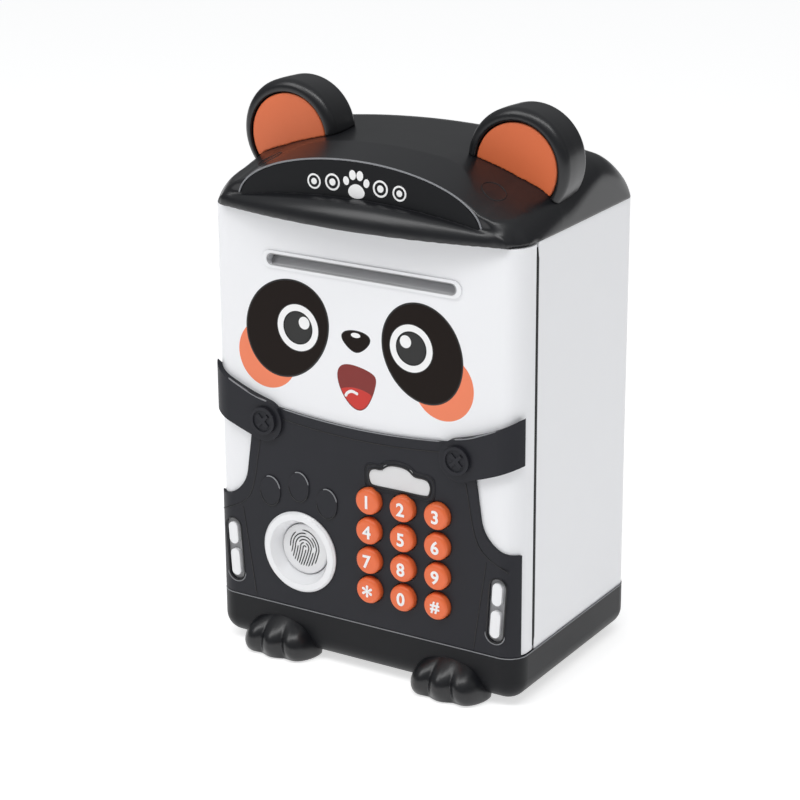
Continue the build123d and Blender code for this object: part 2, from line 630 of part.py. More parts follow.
def main_board():
    """The circuit board behind the keys and the finger pad, with its chips."""
    rear = BOARD_FRONT + BOARD_THICK
    board = block((-51.2, BOARD_FRONT, 27.0), (49.8, rear, 96.0))
    chips = (((-20, 60), (-8, 72)), ((-40, 74), (-30, 88)), ((12, 34), (30, 44)), ((-44, 30), (-36, 40)))
    for low, high in chips:
        board += block((low[0], rear - 0.1, low[1]), (high[0], rear + 1.8, high[1]))
    return board


def bill_guide():
    """The frame that carries the rollers behind the slot."""
    frame = Part()
    outside = GUIDE_X + GUIDE_WALL
    for side in (-1, 1):
        low, high = sorted((side * GUIDE_X, side * outside))
        frame += block((low, GUIDE_FRONT, GUIDE_LOW), (high, GUIDE_REAR, GUIDE_HIGH))
    frame += block((-outside, GUIDE_REAR - 3.2, GUIDE_LOW), (outside, GUIDE_REAR, GUIDE_LOW + 2.2))
    frame += block((-outside, GUIDE_FRONT, GUIDE_HIGH - 1.5), (outside, GUIDE_REAR, GUIDE_HIGH))
    for z in (FEED_Z, IDLER_Z, MOTOR_Z):
        frame -= across(ROLLER_Y, z, -60, 60, AXLE_R + RUN_CLEARANCE)
    return frame - push_back(slot_outline(SLOT_HALF, SLOT_HEIGHT), THROUGH[0], GUIDE_FRONT + 2.0)


def roller(z, tooth_phase):
    """A rubber-covered roller with its axle and end gear."""
    body = across(ROLLER_Y, z, -ROLLER_HALF, ROLLER_HALF, ROLLER_R - 0.5)
    for sleeve in range(-3, 4, 2):
        body += across(ROLLER_Y, z, sleeve * 11 - 4.5, sleeve * 11 + 4.5, ROLLER_R)
    body += across(ROLLER_Y, z, AXLE_LEFT, GEAR_X + GEAR_WIDTH + 0.8, AXLE_R)
    return body + spur_gear(ROLLER_TEETH, GEAR_X, ROLLER_Y, z, GEAR_WIDTH, tooth_phase, AXLE_R - 0.2)


def feed_motor():
    """The small motor that drives the rollers, with its end boss."""
    motor = across(ROLLER_Y, MOTOR_Z, 22.0, GUIDE_X - 0.8, MOTOR_R)
    return motor - across(ROLLER_Y, MOTOR_Z, 30.0, 60.0, AXLE_R + 0.1)


def motor_gear():
    gear = spur_gear(MOTOR_TEETH, GEAR_X, ROLLER_Y, MOTOR_Z, GEAR_WIDTH, 90.0, AXLE_R - 0.2)
    return gear + across(ROLLER_Y, MOTOR_Z, 31.0, GEAR_X + GEAR_WIDTH + 0.8, AXLE_R)


def speaker():
    """The speaker: a flanged cone and a magnet."""
    x, z = -29.0, 122.0
    unit = facing(x, z, DOOR_INNER, DOOR_INNER + 1.6, 14.0)
    unit += facing(x, z, DOOR_INNER + 1.5, DOOR_INNER + 4.4, 11.0)
    return unit + facing(x, z, DOOR_INNER + 4.3, DOOR_INNER + 8.0, 7.0)


def bolt_window(half_depth, half_height, low_x, high_x):
    return block((low_x, BOLT_Y - half_depth, LATCH_Z - half_height),
                 (high_x, BOLT_Y + half_depth, LATCH_Z + half_height))


def door_back_cover():
    """The inner cover of the door, with the bill exit and the bolt's guide."""
    cover = block((-COVER_HALF, COVER_FRONT, COVER_LOW), (COVER_HALF, COVER_REAR, COVER_HIGH))
    cover -= block((-COVER_HALF + COVER_WALL, COVER_FRONT - 1, COVER_LOW + COVER_WALL),
                   (COVER_HALF - COVER_WALL, COVER_INNER, COVER_HIGH - COVER_WALL))
    cover -= block((-42, COVER_FRONT, SLOT_Z - 7), (42, COVER_REAR + 1, SLOT_Z + 7))
    cover += block((0.5 - COVER_HALF, BOLT_Y - 4.2, LATCH_Z - 5.6),
                   (-51.0, COVER_INNER + 0.2, LATCH_Z + 5.6))
    cover -= bolt_window(BOLT_DEPTH / 2 + 0.35, BOLT_HEIGHT / 2 + 0.35, BOLT_TIP, BOLT_TAIL)
    for x, z in screw_posts():
        cover -= facing(x, z, COVER_FRONT, COVER_REAR + 1, SCREW_R)
    return cover


def door_screws():
    group = Part()
    for x, z in screw_posts():
        head = facing(x, z, COVER_REAR, COVER_REAR + 1.8, 2.6)
        head -= Pos(x, COVER_REAR + 1.8, z) * Box(3.6, 1.6, 0.8)
        head -= Pos(x, COVER_REAR + 1.8, z) * Box(0.8, 1.6, 3.6)
        group += head + facing(x, z, COVER_REAR - 10, COVER_REAR + 0.2, 1.2)
    return group


def latch_bolt():
    """The bolt and its plunger, drawn back."""
    bolt = block((BOLT_TIP, BOLT_Y - BOLT_DEPTH / 2, LATCH_Z - BOLT_HEIGHT / 2),
                 (BOLT_TAIL, BOLT_Y + BOLT_DEPTH / 2, LATCH_Z + BOLT_HEIGHT / 2))
    return bolt + across(BOLT_Y, LATCH_Z, BOLT_TAIL - 0.5, PLUNGER_END, SCREW_R)


def lock_solenoid():
    """The coil that drives the bolt, with the bore that the plunger runs in."""
    coil = block((BOLT_TAIL + 2.5, BOLT_Y - 5, LATCH_Z - 7), (-28.0, COVER_INNER, LATCH_Z + 7))
    return coil - across(BOLT_Y, LATCH_Z, BOLT_TAIL, PLUNGER_END + 1.5, SCREW_R + RUN_CLEARANCE)


def latch_strike():
    """The keeper on the housing's left wall that the bolt shoots into."""
    keeper = block((-BODY_HALF + WALL, BOLT_Y - 4.4, LATCH_Z - 8), (STRIKE_X, BOLT_Y + 4.6, LATCH_Z + 8))
    return keeper - bolt_window(BOLT_DEPTH / 2 + 0.6, BOLT_HEIGHT / 2 + 0.6, -BODY_HALF, BOLT_TIP)


# ---------------------------------------------------------------- write the nodes
os.makedirs("parts", exist_ok=True)

outer_head = head_outer()
plugs = head_plugs(outer_head)
right_paw = paw()
right_ear = ear(outer_head)
right_pad = ear_pad(outer_head)
right_insert = pill_insert()
left_insert = mirrored(right_insert)
button = strap_button()

nodes = {
    "base_tray": base_tray(),
    "left_paw": mirrored(right_paw),
    "right_paw": right_paw,
    "chamber_floor": chamber_floor(),
    "rear_housing": housing(),
    "head_shell": head_shell(outer_head, plugs),
    "left_ear": mirrored(right_ear),
    "right_ear": right_ear,
    "left_ear_pad": mirrored(right_pad),
    "right_ear_pad": right_pad,
    "brow_plate": brow_plate(),
    "head_plugs": plugs,
    "coin_chute": coin_chute(),
    "battery_box": battery_box(),
    "batteries": batteries(),
    "battery_contacts": battery_contacts(),
    "battery_cover": battery_cover(),
    "battery_cover_screw": battery_cover_screw(),
    "base_screws": long_screws(13.0, 18.0),
    "head_screws": long_screws(170.6, 19.8),
    "hinge_pins": hinge_pins(),
    "rubber_feet": rubber_feet(),
    "latch_strike": latch_strike(),
    "door_shell": door_shell(),
    "bib_panel": bib_panel(left_insert + right_insert),
    "left_strap_button": mirrored(button),
    "right_strap_button": button,
    "slot_bezel": slot_bezel(),
    "light_window": push_back(window_outline(), FRONT + 0.1, DOOR_INNER + 0.4),
    "left_side_light": left_insert,
    "right_side_light": right_insert,
    "sensor_bowl": sensor_bowl(),
    "finger_pad": finger_pad(),
    "key_membrane": key_membrane(),
    "main_board": main_board(),
    "bill_guide": bill_guide(),
    "feed_roller": roller(FEED_Z, 90.0),
    "idler_roller": roller(IDLER_Z, -90.0 + 180.0 / ROLLER_TEETH),
    "feed_motor": feed_motor(),
    "motor_gear": motor_gear(),
    "speaker": speaker(),
    "door_back_cover": door_back_cover(),
    "door_screws": door_screws(),
    "latch_bolt": latch_bolt(),
    "lock_solenoid": lock_solenoid(),
}
for key_name, key_x, key_z in key_places():
    nodes[f"key_{key_name}"] = key(key_x, key_z)

for node_name, node_part in nodes.items():
    save(node_name, node_part)
print(len(nodes), "nodes written")
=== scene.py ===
"""Looks of the panda cash bank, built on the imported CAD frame.

Lengths are in millimetres until a mesh is made.
"""
import json
import math

import bpy
import numpy as np
from mathutils import Matrix, Vector


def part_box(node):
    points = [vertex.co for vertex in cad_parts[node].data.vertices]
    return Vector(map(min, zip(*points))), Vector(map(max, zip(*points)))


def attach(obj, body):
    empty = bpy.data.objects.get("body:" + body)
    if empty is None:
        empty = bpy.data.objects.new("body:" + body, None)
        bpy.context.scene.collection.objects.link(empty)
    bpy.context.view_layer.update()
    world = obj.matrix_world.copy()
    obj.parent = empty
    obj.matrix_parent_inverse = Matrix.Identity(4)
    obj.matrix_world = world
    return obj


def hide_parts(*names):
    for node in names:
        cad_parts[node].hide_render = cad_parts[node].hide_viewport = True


MM = 0.001
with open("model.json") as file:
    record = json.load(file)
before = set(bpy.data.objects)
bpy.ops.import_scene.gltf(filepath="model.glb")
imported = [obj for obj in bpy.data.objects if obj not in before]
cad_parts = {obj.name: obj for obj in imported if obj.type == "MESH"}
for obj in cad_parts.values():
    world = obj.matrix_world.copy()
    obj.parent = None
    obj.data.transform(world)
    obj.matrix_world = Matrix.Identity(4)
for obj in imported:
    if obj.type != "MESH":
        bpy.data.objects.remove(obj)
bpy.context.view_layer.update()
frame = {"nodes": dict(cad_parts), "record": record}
NODES = frame["nodes"]


def low(node, axis):
    """A node's lower bound along an axis."""
    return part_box(node)[0]["xyz".index(axis)] / MM


def high(node, axis):
    """A node's upper bound along an axis."""
    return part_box(node)[1]["xyz".index(axis)] / MM


def middle(node, axis):
    """The middle of a node's box along an axis."""
    return (low(node, axis) + high(node, axis)) / 2


# ---------------------------------------------------------------- anchors taken from the frame
FACE = low("door_shell", "y")            # white face of the door
FACE_HALF = high("door_shell", "x")
HEAD_LOW = low("head_shell", "z")
HEAD_HALF = high("head_shell", "x")
HEAD_BACK = high("head_shell", "y")
HEAD_TOP = HEAD_LOW + 28.0               # crown of the head between the ears
HEAD_FRONT = FACE - 1.6                  # flat front of the head over the door
BIB = low("base_tray", "y")              # front of the dungarees, flush with the base
EYE_Z = HEAD_LOW - 45.3                  # height of the middle of the eyes
STRAP = low("bib_panel", "y")            # front of the raised straps
SHUT_LINE_Y = low("rear_housing", "y") - 0.3   # shut line between the door and the housing
PAW_X = 39.5                             # middle of a paw
EAR_X = middle("right_ear", "x")
EAR_R = (high("right_ear", "x") - low("right_ear", "x")) / 2
EAR_Z = high("right_ear", "z") - EAR_R
PAD_DROP = 1.1                           # the orange disc sits this far below the ear's centre
DISH_R, PAD_R = 17.7, 17.1               # the ear's recess and the disc in it
EAR_FRONT, EAR_BACK = low("right_ear", "y"), high("right_ear", "y")
PLATE_Z = HEAD_LOW + 4.4                 # centre line of the arched brow plate
PLATE_HALF, PLATE_RISE = 53.5, 20.1
PLUG_X, PLUG_Y, PLUG_R = 50.0, -27.0, 4.6
COIN_X, COIN_Y, COIN_HALF = 15.0, middle("coin_chute", "y"), 2.6
POST_X, POST_YS = 59.0, (-10.0, 40.0)    # the head's screw posts
WALL = 2.2


# ---------------------------------------------------------------- materials
def plastic(name, colour, rough=0.35, tint=0.05, cloud=45.0, grain=0.25, grain_scale=1400.0,
            bevel=0.35, coat=0.0, metal=0.0, shine=0.5):
    """A procedural finish: slight drift of colour and gloss, a fine moulded grain, softened edges."""
    mat = bpy.data.materials.new(name)
    mat.use_nodes = True
    tree = mat.node_tree
    shader = tree.nodes["Principled BSDF"]
    link = tree.links.new
    where = tree.nodes.new("ShaderNodeTexCoord")
    drift = tree.nodes.new("ShaderNodeTexNoise")
    drift.inputs["Scale"].default_value = cloud
    drift.inputs["Detail"].default_value = 3.0
    link(where.outputs["Object"], drift.inputs["Vector"])
    mix = tree.nodes.new("ShaderNodeMix")
    mix.data_type = "RGBA"
    dark = [c * (1 - tint) for c in colour]
    light = [min(1.0, c * (1 + tint)) for c in colour]
    mix.inputs["A"].default_value = (*dark, 1)
    mix.inputs["B"].default_value = (*light, 1)
    link(drift.outputs["Fac"], mix.inputs["Factor"])
    link(mix.outputs["Result"], shader.inputs["Base Color"])
    gloss = tree.nodes.new("ShaderNodeMapRange")
    gloss.inputs["To Min"].default_value = max(0.02, rough - 0.05)
    gloss.inputs["To Max"].default_value = rough + 0.05
    link(drift.outputs["Fac"], gloss.inputs["Value"])
    link(gloss.outputs["Result"], shader.inputs["Roughness"])
    fine = tree.nodes.new("ShaderNodeTexNoise")
    fine.inputs["Scale"].default_value = grain_scale
    link(where.outputs["Object"], fine.inputs["Vector"])
    bump = tree.nodes.new("ShaderNodeBump")
    bump.inputs["Strength"].default_value = grain
    bump.inputs["Distance"].default_value = 0.00002
    link(fine.outputs["Fac"], bump.inputs["Height"])
    if bevel:
        soft = tree.nodes.new("ShaderNodeBevel")
        soft.samples = 4
        soft.inputs["Radius"].default_value = bevel * MM
        link(soft.outputs["Normal"], bump.inputs["Normal"])
    link(bump.outputs["Normal"], shader.inputs["Normal"])
    shader.inputs["Metallic"].default_value = metal
    shader.inputs["Coat Weight"].default_value = coat
    shader.inputs["Coat Roughness"].default_value = 0.12
    shader.inputs["Specular IOR Level"].default_value = shine
    return mat


BLACK = plastic("black_plastic", (0.0075, 0.0080, 0.0098), rough=0.30, tint=0.15, grain=0.1, shine=0.55)
BASE_BLACK = plastic("base_black", (0.0075, 0.0080, 0.0098), rough=0.40, tint=0.15, grain=0.1, shine=0.2)
BROW = plastic("brow_plate_plastic", (0.006, 0.0065, 0.008), rough=0.45, tint=0.2, grain=0.1, shine=0.18)
BIB_CLOTH = plastic("charcoal_plastic", (0.019, 0.0195, 0.0245), rough=0.45, tint=0.12, shine=0.2)
# light grey lines laid along edges and rims as painted highlight, where the edges would catch the light
HIGHLIGHT_LINE = plastic("painted_edge_highlight", (0.23, 0.235, 0.25), rough=0.35, tint=0.15, bevel=0)
# near-black lines as painted shade in grooves, gaps, notches and along recess edges
SHADE_LINE = plastic("painted_groove_shade", (0.006, 0.006, 0.007), rough=0.5, tint=0.2, bevel=0)
WHITE = plastic("white_plastic", (0.87, 0.875, 0.895), rough=0.30, tint=0.012, grain=0.04, coat=0.1)
WINDOW_GREY = plastic("window_grey", (0.72, 0.72, 0.725), rough=0.35, tint=0.02)
# mid grey: painted shade on the white plastic inside the bill slot
THROAT_SHADE = plastic("shutter_painted_shade", (0.42, 0.42, 0.43), rough=0.35, tint=0.05)
# a mid grey with strong drift, laid as painted shade on the floor of the side lights' recesses
RECESS_SHADE = plastic("light_recess_shade", (0.30, 0.30, 0.31), rough=0.4, tint=0.25, cloud=160.0)
ORANGE = plastic("orange_plastic", (0.82, 0.155, 0.045), rough=0.38, tint=0.05, bevel=0.5)
EAR_ORANGE = plastic("ear_orange", (0.80, 0.175, 0.060), rough=0.5, tint=0.04, bevel=0.5)
MILK = plastic("translucent_white", (0.86, 0.865, 0.88), rough=0.3, tint=0.02, coat=0.2)
GREY_PAD = plastic("grey_pad", (0.80, 0.80, 0.81), rough=0.4, tint=0.03)
RIDGE = plastic("ridge_grey", (0.035, 0.035, 0.037), rough=0.5, tint=0.2, bevel=0)
INNER = plastic("inner_plastic", (0.42, 0.43, 0.45), rough=0.5, tint=0.06)
ROLLER = plastic("roller_rubber", (0.035, 0.035, 0.036), rough=0.75, tint=0.2, grain=0.6)
NYLON = plastic("nylon", (0.72, 0.70, 0.62), rough=0.45, tint=0.04)
STEEL = plastic("steel", (0.60, 0.60, 0.62), rough=0.28, tint=0.08, metal=1.0, grain=0.15)
FOOT = plastic("foot_rubber", (0.022, 0.022, 0.022), rough=0.8, tint=0.25, grain=0.6)
KEY_RUBBER = plastic("key_rubber", (0.22, 0.22, 0.23), rough=0.7, tint=0.1, grain=0.5)
BOARD = plastic("circuit_board", (0.015, 0.13, 0.045), rough=0.35, tint=0.35, cloud=420.0)
SPEAKER = plastic("speaker_black", (0.02, 0.02, 0.021), rough=0.6, tint=0.3, cloud=300.0)
CELL = plastic("cell_sleeve", (0.05, 0.14, 0.36), rough=0.3, tint=0.3, cloud=90.0, coat=0.3)
INK = plastic("printed_black", (0.010, 0.0055, 0.004), rough=0.45, tint=0.15, bevel=0, shine=0.12)
INK_EDGE = plastic("printed_outline", (0.002, 0.002, 0.002), rough=0.4, tint=0.2, bevel=0)
INK_WHITE = plastic("printed_white", (0.90, 0.90, 0.90), rough=0.35, tint=0.015, bevel=0)
INK_CHEEK = plastic("printed_orange", (0.87, 0.215, 0.095), rough=0.38, tint=0.03, bevel=0)
INK_MOUTH = plastic("printed_dark_red", (0.20, 0.006, 0.002), rough=0.38, tint=0.1, bevel=0)
INK_TONGUE = plastic("printed_red", (0.58, 0.018, 0.008), rough=0.38, tint=0.08, bevel=0)

FINISH = {
    "black_plastic": BLACK, "charcoal_plastic": BIB_CLOTH, "white_plastic": WHITE,
    "orange_plastic": ORANGE, "translucent_white": MILK, "grey_pad": GREY_PAD,
    "inner_plastic": INNER, "roller_rubber": ROLLER, "nylon": NYLON, "steel": STEEL,
    "foot_rubber": FOOT, "key_rubber": KEY_RUBBER, "circuit_board": BOARD,
    "speaker_black": SPEAKER, "cell_sleeve": CELL,
}
SPECIAL = {"light_window": WINDOW_GREY, "base_tray": BASE_BLACK}
for part in frame["record"]["subparts"]:
    mesh = NODES[part["node"]].data
    mesh.materials.clear()
    mesh.materials.append(SPECIAL.get(part["node"], FINISH[part["material_slot"]]))


# ---------------------------------------------------------------- meshes
def piece(name, points, faces, material, body, smooth=True):
    """A mesh from millimetre points, riding on a CAD body."""
    mesh = bpy.data.meshes.new(name)
    mesh.from_pydata([tuple(float(c) * MM for c in p) for p in points], [], [tuple(f) for f in faces])
    mesh.validate()
    mesh.update()
    if smooth:
        mesh.polygons.foreach_set("use_smooth", [True] * len(mesh.polygons))
    mesh.materials.append(material)
    obj = bpy.data.objects.new(name, mesh)
    bpy.context.scene.collection.objects.link(obj)
    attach(obj, body)
    return obj


def round_meet(a, b, radius):
    """Distance to the overlap of two solids, with a rounded convex edge between them."""
    corner = np.hypot(np.maximum(a + radius, 0), np.maximum(b + radius, 0))
    return np.minimum(-radius, np.maximum(a, b)) + corner


def soft_join(a, b, radius):
    """Distance to the union of two solids, with a fillet between them."""
    h = np.maximum(radius - np.abs(a - b), 0) / radius
    return np.minimum(a, b) - h * h * radius / 4


def step(value, start, end):
    """A smooth change from 0 at start to 1 at end."""
    t = np.clip((value - start) / (end - start), 0, 1)
    return t * t * (3 - 2 * t)


def skin(name, field, lowest, highest, cell, material, body):
    """The surface where a distance field is zero, meshed with quads and pulled onto the field."""
    lowest, highest = np.array(lowest, float), np.array(highest, float)
    count = np.ceil((highest - lowest) / cell).astype(int) + 1
    grid = np.meshgrid(*(lowest[i] + cell * np.arange(count[i]) for i in range(3)), indexing="ij")
    values = field(*grid)
    hits, total = np.zeros(count - 1), np.zeros((*(count - 1), 3))
    crossings = []
    for axis in range(3):
        near, far = [slice(None)] * 3, [slice(None)] * 3
        near[axis], far[axis] = slice(0, -1), slice(1, None)
        a, b = values[tuple(near)], values[tuple(far)]
        mask = (a < 0) != (b < 0)
        at = np.argwhere(mask)
        place = at.astype(float)
        place[:, axis] += (a[mask] / (a[mask] - b[mask]))
        second, third = (axis + 1) % 3, (axis + 2) % 3
        cells = []
        for back_2, back_3 in ((1, 1), (0, 1), (0, 0), (1, 0)):
            c = at.copy()
            c[:, second] -= back_2
            c[:, third] -= back_3
            inside = np.all((c >= 0) & (c < count - 1), axis=1)
            np.add.at(hits, tuple(c[inside].T), 1)
            np.add.at(total, tuple(c[inside].T), place[inside])
            cells.append((c, inside))
        crossings.append((cells, a[mask] < 0))
    used = np.argwhere(hits > 0)
    number = -np.ones(count - 1, int)
    number[tuple(used.T)] = np.arange(len(used))
    points = lowest + cell * total[tuple(used.T)] / hits[tuple(used.T)][:, None]
    faces = []
    for cells, outward in crossings:
        whole = np.all([inside for _, inside in cells], axis=0)
        quad = np.stack([number[tuple(c[whole].T)] for c, _ in cells], axis=1)
        turn = outward[whole]
        faces.append(np.where(turn[:, None], quad, quad[:, ::-1]))
    faces = np.concatenate(faces)
    for _ in range(3):
        value = field(*points.T)
        slope = np.stack([(field(*(points + 0.02 * e).T) - field(*(points - 0.02 * e).T)) / 0.04
                          for e in np.eye(3)], axis=1)
        move = slope * (value / np.maximum((slope ** 2).sum(1), 0.05))[:, None]
        length = np.linalg.norm(move, axis=1, keepdims=True)
        points -= move * np.minimum(1, 0.4 * cell / np.maximum(length, 1e-9))
    return piece(name, points, faces.tolist(), material, body)


def bead(name, path, radius, material, body, closed=False, sides=8, normal=(0, -1, 0), flat=1.0):
    """A fine moulded line: a tube of the given radius along a path, flattened towards its base."""
    path = [Vector(p) for p in path]
    normal = Vector(normal)
    points, faces = [], []
    last = len(path) - 1
    for i, p in enumerate(path):
        ahead = path[(i + 1) % len(path)] if closed else path[min(i + 1, last)]
        behind = path[i - 1] if closed else path[max(i - 1, 0)]
        along = (ahead - behind).normalized()
        out = (normal - along * normal.dot(along)).normalized()
        side = along.cross(out)
        taper = 1.0 if closed or 0 < i < last else 0.35
        for k in range(sides):
            a = 2 * math.pi * k / sides
            points.append(p + taper * radius * (side * math.cos(a) + out * (flat * math.sin(a))))
    rings = len(path) if closed else last
    for i in range(rings):
        j = (i + 1) % len(path)
        for k in range(sides):
            m = (k + 1) % sides
            faces.append((i * sides + k, j * sides + k, j * sides + m, i * sides + m))
    if not closed:
        faces.append(tuple(range(sides)))
        faces.append(tuple(last * sides + k for k in reversed(range(sides))))
    return piece(name, points, faces, material, body)


def smooth_loop(controls, per=8, closed=True):
    """A smooth curve through control points."""
    pts = [Vector(c) for c in controls]
    n = len(pts)
    out = []
    spans = n if closed else n - 1
    for i in range(spans):
        if closed:
            p0, p1, p2, p3 = pts[i - 1], pts[i], pts[(i + 1) % n], pts[(i + 2) % n]
        else:
            p0, p1, p2, p3 = pts[max(i - 1, 0)], pts[i], pts[i + 1], pts[min(i + 2, n - 1)]
        for k in range(per):
            t = k / per
            out.append(0.5 * ((2 * p1) + (p2 - p0) * t + (2 * p0 - 5 * p1 + 4 * p2 - p3) * t * t
                              + (3 * p1 - p0 - 3 * p2 + p3) * t ** 3))
    if not closed:
        out.append(pts[-1])
    return out


def bands(rows, count):
    """The quads between neighbouring rings of points, all with the same count."""
    faces = []
    for r in range(rows):
        for k in range(count):
            m = (k + 1) % count
            faces.append((r * count + k, r * count + m, (r + 1) * count + m, (r + 1) * count + k))
    return faces


def printed(name, outline, layer, material, body, face=None, hole=None, thick=0.05):
    """A thin patch on a flat face that looks to -Y, for print, an inlay or a sheet of painted shade: outline
    is (x, z) points; layer lifts it.

    A hole has as many points as the outline.
    """
    face = FACE if face is None else face
    front = face - thick * (layer + 1)
    back = face - thick * layer + 0.01
    n = len(outline)
    flat = [Vector((p[0], p[1])) for p in outline]
    area = sum(flat[i].x * flat[(i + 1) % n].y - flat[(i + 1) % n].x * flat[i].y for i in range(n))
    if area < 0:
        flat.reverse()
    if hole is None:
        centre = sum(flat, Vector((0, 0))) / n
        rings = [[centre + (p - centre) * s for p in flat] for s in (1.0, 0.985, 0.7, 0.35)]
        depths = [back, front, front, front]
        points = [(p.x, depths[r], p.y) for r, ring in enumerate(rings) for p in ring]
        faces = bands(3, n)
        points.append((centre.x, front, centre.y))
        for k in range(n):
            faces.append((3 * n + k, 3 * n + (k + 1) % n, 4 * n))
    else:
        inner = [Vector((p[0], p[1])) for p in hole]
        mid = sum(inner, Vector((0, 0))) / len(inner)
        rings = [flat, [mid + (p - mid) * 0.985 for p in flat],
                 [mid + (p - mid) * 1.015 for p in inner], inner]
        depths = [back, front, front, back]
        points = [(p.x, depths[r], p.y) for r, ring in enumerate(rings) for p in ring]
        faces = bands(3, n)
    return piece(name, points, faces, material, body, smooth=False)


def pill_flat(x, z, half, radius, count=12):
    """The outline of a lying round-ended slot."""
    out = []
    for side, first in ((1, -90), (-1, 90)):
        for k in range(count + 1):
            a = math.radians(first + 180 * k / count)
            out.append((x + side * (half - radius) + radius * math.cos(a), z + radius * math.sin(a)))
    return out


def egg(x, z, a, b, tilt, skew=0.0, count=96):
    """An oval outline, wider at one end when skew is given."""
    c, s = math.cos(math.radians(tilt)), math.sin(math.radians(tilt))
    out = []
    for k in range(count):
        t = 2 * math.pi * k / count
        u, v = a * math.cos(t) * (1 + skew * math.sin(t)), b * math.sin(t)
        out.append((x + u * c - v * s, z + u * s + v * c))
    return out


# ---------------------------------------------------------------- the head
BOW, FRONT_BOW = 0.0014, 0.0019          # curvature across the crown, and what the front adds to it
REAR_START, REAR_FALL = 17.5, 68.0       # where the crown starts to fall to the rear, and how slowly
SHOULDER_DROP = 8.0                      # how far the front shoulders fall below the crown
HOOD_HALF, HOOD_SPREAD = 54.5, 0.22      # half width of the hood over the plate, growing rearwards
LIP_REACH, LIP_HALF = 9.2, 65.0          # the lip's overhang and half width
LIP_TALL, LIP_TALL_HALF = 10.3, 77.0     # the lip's height, and the half width where it would reach zero
LIP_POWER = 2.2                          # 2 would make the lip's section an ellipse


def crown_height(x, y):
    """Height of the top of the head: a dome, a sloping brow in front and a hood over the plate."""
    ax = np.abs(x)
    sides = step(ax, 26, 58)
    bow = BOW + FRONT_BOW * (1 - step(y, -12, 22))
    rear = np.maximum(y - REAR_START, 0) ** 2 / REAR_FALL
    shoulders = SHOULDER_DROP * sides * np.clip((-11 - y) / 32, 0, 1.1)
    dome = HEAD_TOP - bow * x * x - rear - shoulders
    span = HOOD_HALF + HOOD_SPREAD * np.maximum(y - HEAD_FRONT, 0)
    rise = PLATE_RISE + 0.2 * (y - HEAD_FRONT)
    hood = PLATE_Z + rise * np.sqrt(np.maximum(1 - (x / span) ** 2, 0))
    return dome - np.maximum(dome - hood, 0) * (1 - step(ax, 48, 55))


def lip_reach(x):
    """How far the lip stands out before the head."""
    return np.maximum(LIP_REACH * (1 - (x / LIP_HALF) ** 2), 0.05)


def lip_height(x):
    """How far the lip rises above the head's lower edge."""
    return LIP_TALL * (1 - (x / LIP_TALL_HALF) ** 2)


def head_solid(x, y, z, bottom=True):
    """Distance to the head as a filled shape: a rounded plan under the crown, and the lip in front."""
    e = 0.2
    top = crown_height(x, y)
    lean = np.sqrt(1 + ((crown_height(x + e, y) - crown_height(x - e, y)) / (2 * e)) ** 2
                   + ((crown_height(x, y + e) - crown_height(x, y - e)) / (2 * e)) ** 2)
    cap = (z - top) / lean
    ax = np.abs(x)
    plan = round_meet(round_meet(ax - HEAD_HALF, HEAD_FRONT - y, 11.0), y - HEAD_BACK, 7.5)
    edge = 1.0 + 8.0 * np.maximum(step(y, HEAD_FRONT + 2, HEAD_FRONT + 18), step(ax, 55, 66))
    body = round_meet(cap, plan, edge)
    reach, tall = lip_reach(x), lip_height(x)
    forward, up = np.maximum(HEAD_FRONT - y, 0), np.maximum(z - HEAD_LOW, 0)
    n = LIP_POWER
    curve = (forward / reach) ** n + (up / tall) ** n - 1
    pull = n * np.hypot(forward ** (n - 1) / reach ** n, up ** (n - 1) / tall ** n)
    lip = np.maximum(curve / np.maximum(pull, 0.08), y - HEAD_FRONT - 3)
    lip = round_meet(lip, ax - 64.0, 2.5)
    solid = soft_join(body, lip, 0.5 + 2.5 * step(ax, 50, 62))
    return round_meet(solid, HEAD_LOW - z, 0.5) if bottom else solid


def column(x, y, z, cx, cy, radius, top):
    """Distance to an upright cylinder that ends at top."""
    return np.maximum(np.hypot(x - cx, y - cy) - radius, z - top)


def head_casing(x, y, z):
    """The head as a moulded shell: hollow, open below, with screw posts and the coin slot."""
    solid = head_solid(x, y, z)
    hollow = np.maximum(head_solid(x, y, z, bottom=False) + WALL, HEAD_LOW + WALL - z - 60 * (y > -22.0))
    shell = np.maximum(solid, -hollow)
    for px in (-POST_X, POST_X):
        for py in POST_YS:
            post = np.maximum(column(x, y, z, px, py, 4.0, HEAD_LOW + 11), HEAD_LOW - z)
            shell = np.minimum(shell, np.maximum(post, solid))
            shell = np.maximum(shell, -column(x, y, z, px, py, 1.6, HEAD_LOW + 5.4))
    slot = round_meet(np.abs(x) - COIN_X, np.abs(y - COIN_Y) - COIN_HALF, 1.0)
    return round_meet(shell, -slot, 0.4)


head = skin("head_casing", head_casing,
            (-HEAD_HALF - 2, HEAD_FRONT - 11, HEAD_LOW - 2), (HEAD_HALF + 2, HEAD_BACK + 2, HEAD_TOP + 3),
            0.85, BLACK, "housing")
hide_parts("head_shell")


def ear_field(side):
    """Distance to an ear: a thick rounded disc with a dish in front, cut to the head."""
    def field(x, y, z):
        out = np.hypot(x - side * EAR_X, z - EAR_Z)
        radius = EAR_R - 0.5 * step(y, EAR_FRONT + 6, EAR_BACK)
        disc = round_meet(round_meet(out - radius, EAR_FRONT - y, 3.6), y - EAR_BACK, 3.0)
        dish = np.maximum(np.hypot(x - side * EAR_X, z - EAR_Z + PAD_DROP) - DISH_R, y - EAR_FRONT - 2.0)
        disc = round_meet(disc, -dish, 0.5)
        return np.maximum(disc, -head_solid(x, y, z))
    return field


def pad_field(side):
    """Distance to the orange disc in an ear's dish."""
    def field(x, y, z):
        out = np.hypot(x - side * EAR_X, z - EAR_Z + PAD_DROP) - PAD_R
        pad = round_meet(round_meet(out, EAR_FRONT + 0.75 - y, 0.5), y - EAR_FRONT - 2.0, 0.2)
        return np.maximum(pad, -head_solid(x, y, z))
    return field


